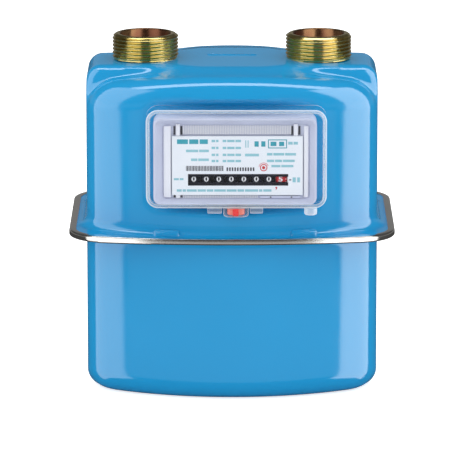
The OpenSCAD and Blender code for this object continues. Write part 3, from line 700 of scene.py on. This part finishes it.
def frame_ring(x0, z0, x1, z1, r, y, inset=0.0):
    """Rounded rectangle in x and z at one depth, the same number of points for every size."""
    steps = 8
    x0, z0, x1, z1 = x0 + inset, z0 + inset, x1 - inset, z1 - inset
    r = max(r - inset, 0.05)
    ring = []
    for cx, cz, start in ((x1 - r, z0 + r, -90), (x1 - r, z1 - r, 0),
                          (x0 + r, z1 - r, 90), (x0 + r, z0 + r, 180)):
        for i in range(steps + 1):
            a = math.radians(start + 90 * i / steps)
            ring.append((cx + r * math.cos(a), y, cz + r * math.sin(a)))
    return ring


def add_block(verts, faces, corners):
    """Adds a six-sided block, from its eight corners in the order x, y, z."""
    faces += [tuple(len(verts) + i for i in face) for face in BLOCK_FACES]
    verts += corners


def blocks(name, boxes, mat, slot, round_by=0.0, segments=2):
    """One piece from moulded blocks, each (x0, x1, y0, y1, z0, z1), with rounded edges."""
    verts, faces = [], []
    for x0, x1, y0, y1, z0, z1 in boxes:
        add_block(verts, faces, [(x, y, z) for x in (x0, x1) for y in (y0, y1) for z in (z0, z1)])
    obj = solid(name, verts, faces, mat, slot)
    if round_by:
        soften(obj, round_by, segments)
    else:
        shade_by_angle(obj, 30)


# Clear cover: open box with a rounded front edge
COVER_R, EDGE_R, WALL, WINDOW_INSET = 7.5, 2.6, 1.5, 6.5
BACK_LIP = cover_hi.y - 1.2


def cover_ring(y, inset=0.0):
    """Outline of the cover at one depth."""
    return frame_ring(cover_lo.x, COVER_Z0, cover_hi.x, cover_hi.z, COVER_R, y, inset)


rings = [cover_ring(y) for y in (cover_hi.y, BACK_LIP, -74.0, cover_lo.y + EDGE_R)]
for t in parts(6, 1):
    rings.append(cover_ring(cover_lo.y + EDGE_R * (1 - math.sin(QUARTER * t)),
                            EDGE_R * (1 - math.cos(QUARTER * t))))
outside = len(rings)
inside = outside + 1
rings.append(cover_ring(cover_lo.y, WINDOW_INSET))
inner_y = cover_lo.y + WALL
inner_r = EDGE_R - WALL + 0.6
rings.append(cover_ring(inner_y, WINDOW_INSET))
for t in reversed(parts(6)):
    rings.append(cover_ring(inner_y + inner_r * (1 - math.sin(QUARTER * t)),
                            WALL + inner_r * (1 - math.cos(QUARTER * t))))
rings.append(cover_ring(cover_hi.y, WALL))
# The window's two faces close the walls off, instead of the quads between their rings
count = len(rings[0])
verts, faces = loft(rings, close_rings=True)
faces = [f for f in faces if min(f) < outside * count or max(f) >= (inside + 1) * count]
faces.append(tuple(range(outside * count, inside * count)))
faces.append(tuple(range((inside + 1) * count - 1, inside * count - 1, -1)))
cover = solid("index_cover_shell", verts, faces, CLEAR, "clear_cover", of=("index_cover",))
shade_by_angle(cover, 25)
# Its rounded front edge and the lip at its back are whiter than the flat walls. Their white haze,
# which grows where they turn away, is a painted highlight for the light that clear edges pipe
cover.data.materials.append(CLEAR_EDGE_HIGHLIGHT)
for face in cover.data.polygons:
    depth = face.center.y / MM
    flat = abs(face.normal.y) > 0.98
    if not flat and (depth < cover_lo.y + EDGE_R or depth > BACK_LIP):
        face.material_index = 1
for name, x0, x1 in (("cover_ledge_left", -15.3, -6.3), ("cover_ledge_right", 11.2, 19.2)):
    blocks(name, [(x0, x1, -82.0, -76.0, cover_lo.z, COVER_Z0 - 0.02)], CLIP, "clear_cover", 0.5)

# Tray: rounded rim, sloping walls, floor and the well for the wheels
RIM = (tray_lo.x, tray_lo.z, tray_hi.x, tray_hi.z, 4.5)
BED = (-43.0, 131.2, 48.0, 178.0)
WELL = (-29.3, 136.8, 40.6, 153.3, 0.7)
FLOOR_Y = -74.6
ROOT_Y = FLOOR_Y + 0.2     # what stands on the floor starts a little behind its face
rings = [frame_ring(*RIM, tray_hi.y)]
rings += [frame_ring(*RIM, tray_lo.y + back, inset) for back, inset in (
    (0.35, 0.0), (0.1, 0.1), (0.0, 0.35), (0.0, 1.0), (0.12, 1.3), (0.5, 1.5))]
rings += [frame_ring(*BED, r, FLOOR_Y - up, inset) for r, up, inset in (
    (3.4, 0.5, -0.2), (3.2, 0.1, 0.1), (3.0, 0.0, 0.6))]
rings += [frame_ring(*WELL, y) for y in (FLOOR_Y, tray_hi.y - 0.9)]
tray = solid("index_tray_moulding", *loft(rings, cap=(True, True)), TRAY, "tray_plastic",
             of=("index_tray",))
shade_by_angle(tray, 28)

# Ribs, side rails, clips and slots on the tray floor
RIB, RIB_PITCH, RIB_START = 0.62, 1.04, -30.4
for name, end, z0, z1 in (("tray_ribs_top", 36.4, 171.9, 177.3),
                          ("tray_ribs_low", 16.2, 131.4, 133.0)):
    blocks(name, [(x, x + RIB, -75.9, ROOT_Y, z0, z1)
                  for x in map(float, np.arange(RIB_START, end, RIB_PITCH))], RAIL, "tray_plastic")
for name, x0, x1 in (("tray_rail_left", -42.6, -38.0), ("tray_rail_right", 44.7, 47.6)):
    blocks(name, [(x0, x1, -76.6, ROOT_Y, 131.8, 177.2)], RAIL, "tray_plastic", 0.6, 3)
# The slots are dark ink blocks on the floor, not openings: painted shade for the dark inside of each
# slot
SLOTS = [(x, 171.4, 176.8) for x in (-36.4, -32.1, 36.9, 41.3)]
SLOTS += [(x, 131.6, 133.4) for x in (-36.4, -32.1)]
blocks("tray_slots", [(x, x + 1.25, -75.2, ROOT_Y, z0, z1) for x, z0, z1 in SLOTS], INK_DARK,
       "tray_plastic", 0.1)
CLIPS = [(-34.95, -32.3, 171.0, 178.4), (38.35, 41.1, 171.0, 178.4), (-34.95, -32.3, 131.3, 133.4)]
blocks("tray_clips", [(x0, x1, -76.8, ROOT_Y, z0, z1) for x0, x1, z0, z1 in CLIPS], RAIL,
       "tray_plastic", 0.25)
blocks("tray_step", [(17.5, 42.5, -76.2, ROOT_Y, 131.3, 132.8)], TRAY, "tray_plastic", 0.2)
blocks("tray_pips", [(x, x + 1.0, -76.5, -75.9, 131.6, 132.4) for x in (23.6, 36.6)], INK_DARK,
       "tray_plastic", 0.15)


# ---------- marks on the plate ----------
INK_Y = plate_lo.y


def marks(name, bars, mat):
    """Printed marks, each (x0, x1, z0, z1), a film on the face of the plate."""
    boxes = [(x0, x1, INK_Y - 0.06, INK_Y + 0.02, z0, z1) for x0, x1, z0, z1 in bars]
    blocks(name, boxes, mat, "plate_plastic")


def words(x0, x1, z, tall, pieces, gap=0.55):
    """Row of short bars between x0 and x1; pieces gives how long each is against the rest."""
    room = (x1 - x0) - gap * (len(pieces) - 1)
    total = sum(pieces)
    bars, x = [], x0
    for p in pieces:
        bars.append((x, x + room * p / total, z - tall / 2, z + tall / 2))
        x += room * p / total + gap
    return bars


marks("print_bold", [(x0, x1, 165.9, 168.8) for x0, x1 in (
    (-34.2, -27.4), (-26.6, -20.9), (-20.1, -15.0))], INK_TEAL)
# Rows that stand for lines of print: x0, x1, middle, height and the length of each word
PRINT_ROWS = []
for z in (167.8, 163.4, 159.0, 155.1):
    PRINT_ROWS += [(-12.7, -8.4, z, 1.5, (3, 2)), (-5.8, 5.6, z, 1.5, (2, 4, 3))]
PRINT_ROWS += [
    (-28.6, -14.4, 161.5, 1.6, (5, 4)), (-25.5, -14.4, 155.9, 1.6, (3, 5)),
    (8.1, 16.8, 158.9, 1.7, (6,)), (21.8, 39.8, 159.4, 1.6, (2, 4, 4)),
    (21.8, 39.0, 155.2, 1.5, (3, 3, 5)), (24.5, 38.2, 151.9, 1.5, (3, 4)),
    (35.0, 41.0, 166.4, 1.8, (3, 3)), (-36.2, -30.2, 143.6, 1.3, (4, 3)),
    (-34.4, 24.6, 136.4, 1.5, (3, 2, 6, 5, 4, 7, 6, 4, 8, 2, 5))]
fine = [bar for row in PRINT_ROWS for bar in words(*row)]
fine += [(x, x + 0.6, 163.6, 168.2) for x in (8.3, 9.7)]
marks("print_fine", fine, INK_PALE)
marks("print_unit", [(x0, x1, 141.6, 144.7) for x0, x1 in ((37.7, 39.7), (40.6, 42.3))], INK_PALE)
badge = [(22.4, 34.2, 168.2, 168.75), (22.4, 34.2, 163.1, 163.65)]
badge += [(x, x + 0.55, 163.65, 168.2) for x in (22.4, 33.65)]
badge += [(24.0, 27.6, 164.6, 167.3), (29.3, 32.4, 164.6, 167.3)]
badge += [(x, x + 2.6, 164.2, 167.6) for x in (14.0, 18.2)]
marks("print_badge", badge, INK_TEAL)
# A made-up bar pattern, which encodes nothing
BAR_WIDTHS, BAR_GAPS = (0.26, 0.42, 0.3, 0.62), (0.22, 0.34, 0.2)
bars, x = [], -28.6
while x <= -5.8:
    i = len(bars)
    wide = BAR_WIDTHS[(i * 7 + i // 3) % 4]
    bars.append((x, x + wide, 148.8, 152.0))
    x += wide + BAR_GAPS[(i * 5) % 3]
marks("print_bars", bars, INK_DARK)
marks("print_serial", words(-3.4, 13.9, 149.9, 2.3, (1,) * 11, 0.65), INK_DARK)
marks("print_tick", [(35.5, 36.9, 142.8, 143.5)], INK_DARK)


def disc_mark(name, x, z, r0, r1, mat, start=0.0, sweep=360.0, steps=48):
    """Printed ring or disc on the plate, or a part of one."""
    full = sweep >= 360.0
    count = steps if full else steps + 1
    verts, faces = [], []
    for i in range(count):
        a = math.radians(start + sweep * i / steps)
        for r, y in ((r1, INK_Y - 0.07), (r0, INK_Y - 0.07), (r0, INK_Y + 0.02), (r1, INK_Y + 0.02)):
            verts.append((x + r * math.cos(a), y, z + r * math.sin(a)))
    for i in range(count if full else count - 1):
        a, b = 4 * i, 4 * ((i + 1) % count)
        for k in range(4):
            faces.append((a + k, b + k, b + (k + 1) % 4, a + (k + 1) % 4))
    if not full:
        faces += [(0, 1, 2, 3), tuple(4 * (count - 1) + k for k in (3, 2, 1, 0))]
    shade_by_angle(solid(name, verts, faces, mat, "plate_plastic"), 30)


SPOT = (19.7, 150.9)
disc_mark("print_spot", *SPOT, 0.02, 1.0, INK_RED)
disc_mark("print_spot_ring", *SPOT, 1.75, 2.3, INK_RED)
disc_mark("print_spot_arc", *SPOT, 2.85, 3.15, INK_RED, 20.0, 150.0)
disc_mark("print_comma_dot", 27.6, 138.2, 0.02, 0.55, INK_RED)
disc_mark("print_comma_tail", 26.9, 138.1, 0.85, 1.25, INK_RED, -75.0, 75.0, 10)


# ---------- window mask, number drums and their digits ----------
DRUM_Y, DRUM_Z, DRUM_R = -70.3, 143.15, 5.6
DIGIT_TALL, DIGIT_WIDE = 3.4, 1.3
DIGIT_TURN = 3.0               # degrees that the shown digit is turned up
DRUM_RIM, DRUM_MIDDLE = 0.9, 2.7
PROUD, SUNK = 0.05, -0.03      # the print's two faces, against the drum's surface
WHEELS = 8
# Two strips of the mask leave a low window over the drums
blocks("window_mask", [(-27.4, 35.0, INK_Y - 0.05, INK_Y + 0.7, DRUM_Z + low, DRUM_Z + high)
                       for low, high in ((1.99, 3.66), (-3.66, -1.52))],
       DRUM_BLACK, "plate_plastic")

font_curve = bpy.data.curves.new("digit_font", "FONT")
font_curve.fill_mode = "FRONT"
font_curve.align_x = "CENTER"
font_curve.align_y = "CENTER"
font_curve.resolution_u = 4
font_curve.offset = 0.025
font_obj = bpy.data.objects.new("digit_font", font_curve)
bpy.context.scene.collection.objects.link(font_obj)


def digit_shape(text):
    """Flat digit as points in a unit box, with its triangles cut into narrow rows."""
    font_curve.body = text
    dg = bpy.context.evaluated_depsgraph_get()
    mesh = bpy.data.meshes.new_from_object(font_obj.evaluated_get(dg))
    bm = bmesh.new()
    bm.from_mesh(mesh)
    low = Vector((min(v.co.x for v in bm.verts), min(v.co.y for v in bm.verts), 0))
    high = Vector((max(v.co.x for v in bm.verts), max(v.co.y for v in bm.verts), 0))
    for v in bm.verts:
        v.co = Vector(((v.co.x - (low.x + high.x) / 2) / (high.y - low.y),
                       (v.co.y - (low.y + high.y) / 2) / (high.y - low.y), 0))
    rows = 8
    for i in range(1, rows):
        bmesh.ops.bisect_plane(bm, geom=bm.verts[:] + bm.edges[:] + bm.faces[:], dist=1e-5,
                               plane_co=(0, -0.5 + i / rows, 0), plane_no=(0, 1, 0))
    points = [tuple(v.co.xy) for v in bm.verts]
    bm.verts.index_update()
    shapes = [[v.index for v in f.verts] for f in bm.faces]
    bm.free()
    bpy.data.meshes.remove(mesh)
    return points, shapes


DIGITS = [digit_shape(str(n)) for n in range(10)]
bpy.data.objects.remove(font_obj)


def on_drum(x, a, lift):
    """Point at an angle round a drum, a little above or below its surface."""
    return (x, DRUM_Y - (DRUM_R + lift) * math.cos(a), DRUM_Z + (DRUM_R + lift) * math.sin(a))


def drum_marks(k, shown, aside=0.0, ticks=False):
    """The ten digits round drum k, printed proud of it, and the tick marks of the last one."""
    lo, hi = cad(f"number_wheel_{k}")
    middle = lo.x + DRUM_RIM + DRUM_MIDDLE - aside
    verts, faces = [], []
    for n, (points, shapes) in enumerate(DIGITS):
        around = math.radians((shown - n) * 36.0 + DIGIT_TURN)
        base = len(verts)
        for lift in (PROUD, SUNK):
            verts += [on_drum(middle + px * DIGIT_TALL * DIGIT_WIDE,
                              around + pz * DIGIT_TALL / DRUM_R, lift) for px, pz in points]
        size = len(points)
        for shape in shapes:
            faces.append(tuple(base + i for i in shape))
            faces.append(tuple(base + size + i for i in reversed(shape)))
        # An edge that no neighbour runs back along is on the digit's outline, and gets a wall
        edges = {pair: None for shape in shapes for pair in zip(shape, shape[1:] + shape[:1])}
        for a, b in edges:
            if (b, a) not in edges:
                faces.append((base + b, base + a, base + size + a, base + size + b))
        if ticks:
            for turn, long in ((0, 0.9), (18, 0.6)):
                a = around + math.radians(turn)
                end = hi.x - 1.35
                add_block(verts, faces, [on_drum(x, a + half, lift) for lift in (PROUD, SUNK)
                                         for half in (-0.022, 0.022) for x in (end - long, end)])
    obj = solid(f"digits_{k}", verts, faces, INK_WHITE, "plate_plastic",
                body=f"number_wheel_{k}_body")
    shade_by_angle(obj, 30)


for k in range(1, WHEELS):
    drum_marks(k, shown=0)
drum_marks(WHEELS, shown=5, aside=0.55, ticks=True)


# ---------- seal and peg ----------
plug_lo, plug_hi = cad("seal_plug")


def lozenge_ring(cx, cy, rx, ry, z, power):
    """Superellipse at one height."""
    steps = 40
    ring = []
    for i in range(steps):
        a = 2 * math.pi * i / steps
        c, s = math.cos(a), math.sin(a)
        ring.append((cx + rx * math.copysign(abs(c) ** (2 / power), c),
                     cy + ry * math.copysign(abs(s) ** (2 / power), s), z))
    return ring


def lozenge(name, centre, half, z0, z1, round_by, mat, slot, of=(), power=2.6):
    """Upright moulded plug with a rounded lower end and a small chamfer on top."""
    cuts = [(round_by * (1 - math.sin(QUARTER * t)), z0 + round_by * (1 - math.cos(QUARTER * t)))
            for t in parts(6)]
    cuts += [(0.0, z1 - 0.2), (0.2, z1)]
    rings = [lozenge_ring(*centre, half[0] - cut, half[1] - cut, z, power) for cut, z in cuts]
    shade_by_angle(solid(name, *loft(rings, cap=(True, True)), mat, slot, of=of), 40)


seal_x, seal_y = ((plug_lo + plug_hi) / 2).xy
lozenge("seal_plug_shell", (seal_x, seal_y), ((plug_hi - plug_lo) / 2).xy, plug_lo.z,
        plug_hi.z - 0.02, 1.8, SEAL_CLEAR, "clear_seal", of=("seal_plug",))
lozenge("seal_core_body", (seal_x, seal_y + 0.2), (5.6, 3.0), plug_lo.z + 1.0, plug_hi.z - 0.4,
        1.2, SEAL_PINK, "seal_red", of=("seal_core",))
lozenge("seal_core_post", (seal_x - 0.2, seal_y - 2.6), (1.9, 1.2), plug_lo.z + 0.8,
        plug_hi.z - 0.3, 0.5, SEAL_RED, "seal_red")
peg_lo, peg_hi = cad("cover_peg")
lozenge("cover_peg_moulding", ((peg_lo + peg_hi) / 2).xy, ((peg_hi - peg_lo) / 2).xy, peg_lo.z,
        peg_hi.z - 0.02, 1.2, MILKY, "clear_seal", of=("cover_peg",), power=2.1)

# ---------- materials of the parts that stay as they are ----------
FINISH = {
    "index_faceplate": PLATE, "index_screws": STEEL, "wheel_axle": STEEL, "pinion_axle": STEEL,
    "index_shaft": STEEL, "index_pinion": ACETAL, "contrate_wheel": ACETAL,
    "crank_pinion": ACETAL, "shaft_bush": ALUMINIUM, "measuring_frame": UNIT,
    "front_chamber_cover": ALUMINIUM, "rear_chamber_cover": ALUMINIUM,
    "front_diaphragm": LEATHER, "rear_diaphragm": LEATHER, "front_pan": ALUMINIUM,
    "rear_pan": ALUMINIUM, "front_flag": ALUMINIUM, "rear_flag": ALUMINIUM,
    "front_arm": ALUMINIUM, "rear_arm": ALUMINIUM, "front_link": BRASS, "rear_link": BRASS,
    "flag_bushes": ACETAL, "valve_plate": VALVE, "rotary_valve": VALVE, "crank": STEEL,
    "crank_bridge": ALUMINIUM, "outlet_tube": ALUMINIUM, "outlet_seal": RUBBER,
    "chamber_screws": STEEL, "flange_gasket": RUBBER,
}
for k in range(1, WHEELS):
    FINISH[f"number_wheel_{k}"] = DRUM_BLACK
    FINISH[f"transfer_pinion_{k}"] = ACETAL
FINISH[f"number_wheel_{WHEELS}"] = DRUM_RED
for name, mat in FINISH.items():
    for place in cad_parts[name].material_slots:
        place.material = mat


# ---------- camera, floor and light; metres from here on ----------
STUDIO_FILL = 1.2       # strength of the even white light on surfaces
STUDIO_GLOSS = 0.06     # what mirrors see of it
HORIZON_GLOSS = 0.20    # and what they see just above the horizon


def look_at(obj, place, target):
    """Puts the object at a place, facing a target."""
    obj.location = place
    way = Vector(target) - Vector(place)
    obj.rotation_euler = way.to_track_quat("-Z", "Y").to_euler()


CAM_UP, CAM_FAR = math.radians(11.79), 3.0
CAM_AIM = (0.0032, -0.0036, 0.0929)
cam = bpy.data.cameras.new("camera")
cam.sensor_width = 36.0
cam.lens = 355.9
cam.clip_end = 50.0
camera = bpy.data.objects.new("camera", cam)
bpy.context.scene.collection.objects.link(camera)
look_at(camera, (0.0, -CAM_FAR * math.cos(CAM_UP), 0.110 + CAM_FAR * math.sin(CAM_UP)), CAM_AIM)
bpy.context.scene.camera = camera


def softbox(name, place, target, size, glow):
    """Rectangular lamp of a given brightness, whatever its size, seen only in reflections."""
    lamp = bpy.data.lights.new(name, "AREA")
    lamp.shape = "RECTANGLE"
    lamp.size, lamp.size_y = size
    lamp.energy = glow * math.pi * size[0] * size[1]
    obj = bpy.data.objects.new(name, lamp)
    bpy.context.scene.collection.objects.link(obj)
    look_at(obj, place, target)
    obj.visible_camera = False
    obj.visible_diffuse = False
    return obj


def shines_on(lamp, name, pieces, only):
    """Light linking: the lamp reaches only these pieces, or everything but them."""
    group = bpy.data.collections.new(name)
    for piece in pieces:
        group.objects.link(piece)
    for entry in group.collection_objects:
        entry.light_linking.link_state = "INCLUDE" if only else "EXCLUDE"
    lamp.light_linking.receiver_collection = group


# Softboxes draw the highlights; the side ones lean back, and bright metal has its own pair
METAL = [o for o in bpy.data.objects if o.type == "MESH" and o.data.materials
         and o.data.materials[0] in (STAINLESS, CHROMATE)]
LEAN = math.radians(12)
for side, name, glow, metal_glow in ((-1, "left", 1.75, 1.3), (1, "right", 3.0, 1.6)):
    lamp = softbox("softbox_" + name, (side * 1.19, -0.13, 0.65), (0, -0.13, 0.65),
                   (1.19, 3.1), glow)
    lamp.rotation_euler.rotate_axis("Z", -side * LEAN)
    shines_on(lamp, "not_metal_" + name, METAL, False)
    lamp = softbox("metal_card_" + name, (side * 0.86, -0.86, 0.4), (0, 0, 0.4), (1.2, 2.4),
                   metal_glow)
    shines_on(lamp, "metal_" + name, METAL, True)
softbox("softbox_top", (0, 0.16, 1.5), (0, 0, 0.2), (1.6, 0.32), 4.0)
softbox("card_front", (0, -1.2, -0.26), (0, 0, -0.02), (2.8, 0.5), 0.3)

# Even studio: white to look at, dim in reflections so the gloss reads
world = bpy.data.worlds.new("studio")
world.use_nodes = True
tree = world.node_tree
background = tree.nodes["Background"]
background.inputs["Color"].default_value = (1, 1, 1, 1)
rays = node(tree, "ShaderNodeLightPath")
mirrored = node(tree, "ShaderNodeMapRange")
mirrored.inputs["To Min"].default_value = STUDIO_FILL
height = node(tree, "ShaderNodeSeparateXYZ")
tree.links.new(node(tree, "ShaderNodeTexCoord").outputs["Generated"], height.inputs[0])
band_of_light = ramp(tree, height.outputs["Z"], [
    (place, (glow, glow, glow)) for place, glow in (
        (0.0, STUDIO_GLOSS), (0.04, HORIZON_GLOSS), (0.22, HORIZON_GLOSS), (0.32, STUDIO_GLOSS))])
tree.links.new(band_of_light, mirrored.inputs["To Max"])
tree.links.new(rays.outputs["Is Glossy Ray"], mirrored.inputs["Value"])
seen = node(tree, "ShaderNodeMath", operation="MAXIMUM")
tree.links.new(mirrored.outputs["Result"], seen.inputs[0])
tree.links.new(rays.outputs["Is Camera Ray"], seen.inputs[1])
tree.links.new(seen.outputs[0], background.inputs["Strength"])
bpy.context.scene.world = world
bpy.context.scene.view_settings.view_transform = "Standard"

bm = bmesh.new()
bmesh.ops.create_grid(bm, x_segments=4, y_segments=4, size=3.0)
floor_mesh = bpy.data.meshes.new("floor")
bm.to_mesh(floor_mesh)
bm.free()
floor = bpy.data.objects.new("floor", floor_mesh)
pale, tree, shader = new_material("floor_pale")
tone = ramp(tree, noise(tree, 3.0), [(0.3, (0.86, 0.86, 0.86)), (0.7, (0.88, 0.88, 0.88))])
tree.links.new(tone, shader.inputs["Base Color"])
shader.inputs["Roughness"].default_value = 0.8
shader.inputs["Emission Color"].default_value = (1, 1, 1, 1)
rays = node(tree, "ShaderNodeLightPath")
glow = node(tree, "ShaderNodeMath", operation="MULTIPLY")
glow.inputs[1].default_value = 0.7
tree.links.new(rays.outputs["Is Camera Ray"], glow.inputs[0])
tree.links.new(glow.outputs[0], shader.inputs["Emission Strength"])
floor_mesh.materials.append(pale)
bpy.context.scene.collection.objects.link(floor)
floor.visible_glossy = False
